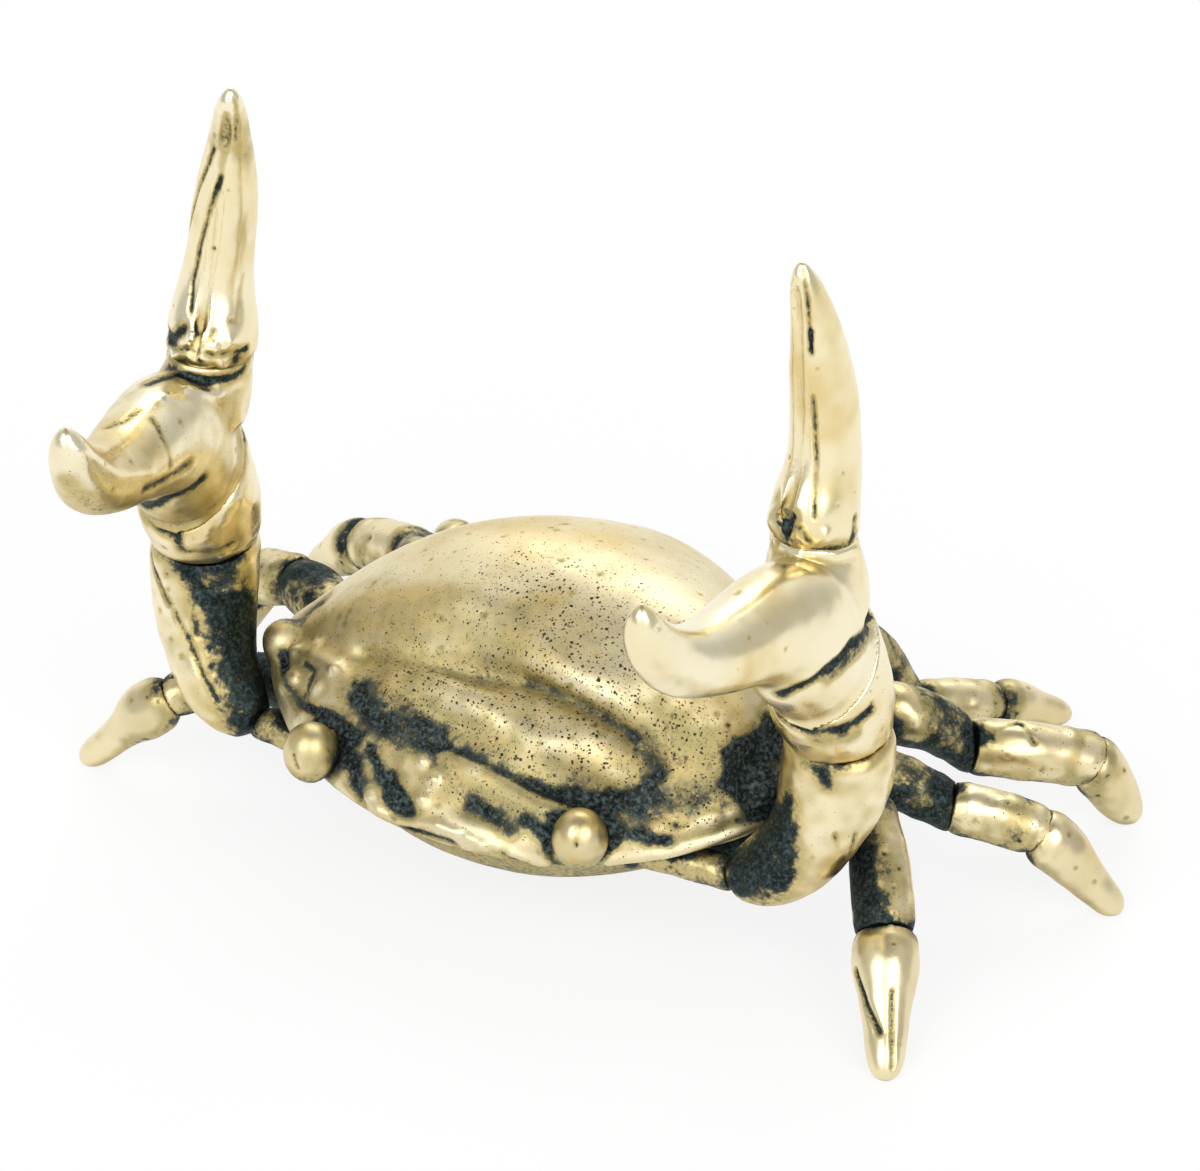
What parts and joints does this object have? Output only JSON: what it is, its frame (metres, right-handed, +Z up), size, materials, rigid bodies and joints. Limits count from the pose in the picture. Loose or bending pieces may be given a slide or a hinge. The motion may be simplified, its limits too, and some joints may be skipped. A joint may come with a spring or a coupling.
{
  "type": "crab figurine pen rest",
  "caption": "Cast antique-brass crab with raised claws; each claw forks into an upright finger and a short hook, so a pen lies across both.",
  "frame": {"origin": "centre of the footprint box on the ground plane", "axes": "+X to the crab's left, -Y is its front, +Z up"},
  "size_m": [0.0636, 0.0518, 0.0502],
  "materials": {
    "brass": "polished, with dark patina in the recesses",
    "dark_brass": "patinated"
  },
  "bodies": {
    "root": {"carapace": "brass", "left_eye": "brass", "left_finger": "brass", "left_leg_1_shank": "brass", "left_leg_1_thigh": "dark_brass", "left_leg_1_tip": "brass", "left_leg_2_shank": "brass", "left_leg_2_thigh": "dark_brass", "left_leg_2_tip": "brass", "left_leg_3_shank": "brass", "left_leg_3_thigh": "dark_brass", "left_leg_3_tip": "brass", "left_leg_4_shank": "brass", "left_leg_4_thigh": "dark_brass", "left_leg_4_tip": "brass", "left_palm": "brass", "left_shoulder": "dark_brass", "left_upper_arm": "brass", "left_wrist": "brass", "right_eye": "brass", "right_finger": "brass", "right_leg_1_shank": "brass", "right_leg_1_thigh": "dark_brass", "right_leg_1_tip": "brass", "right_leg_2_shank": "brass", "right_leg_2_thigh": "dark_brass", "right_leg_2_tip": "brass", "right_leg_3_shank": "brass", "right_leg_3_thigh": "dark_brass", "right_leg_3_tip": "brass", "right_leg_4_shank": "brass", "right_leg_4_thigh": "dark_brass", "right_leg_4_tip": "brass", "right_palm": "brass", "right_shoulder": "dark_brass", "right_upper_arm": "brass", "right_wrist": "brass", "underbody": "dark_brass"}
  },
  "joints": []
}
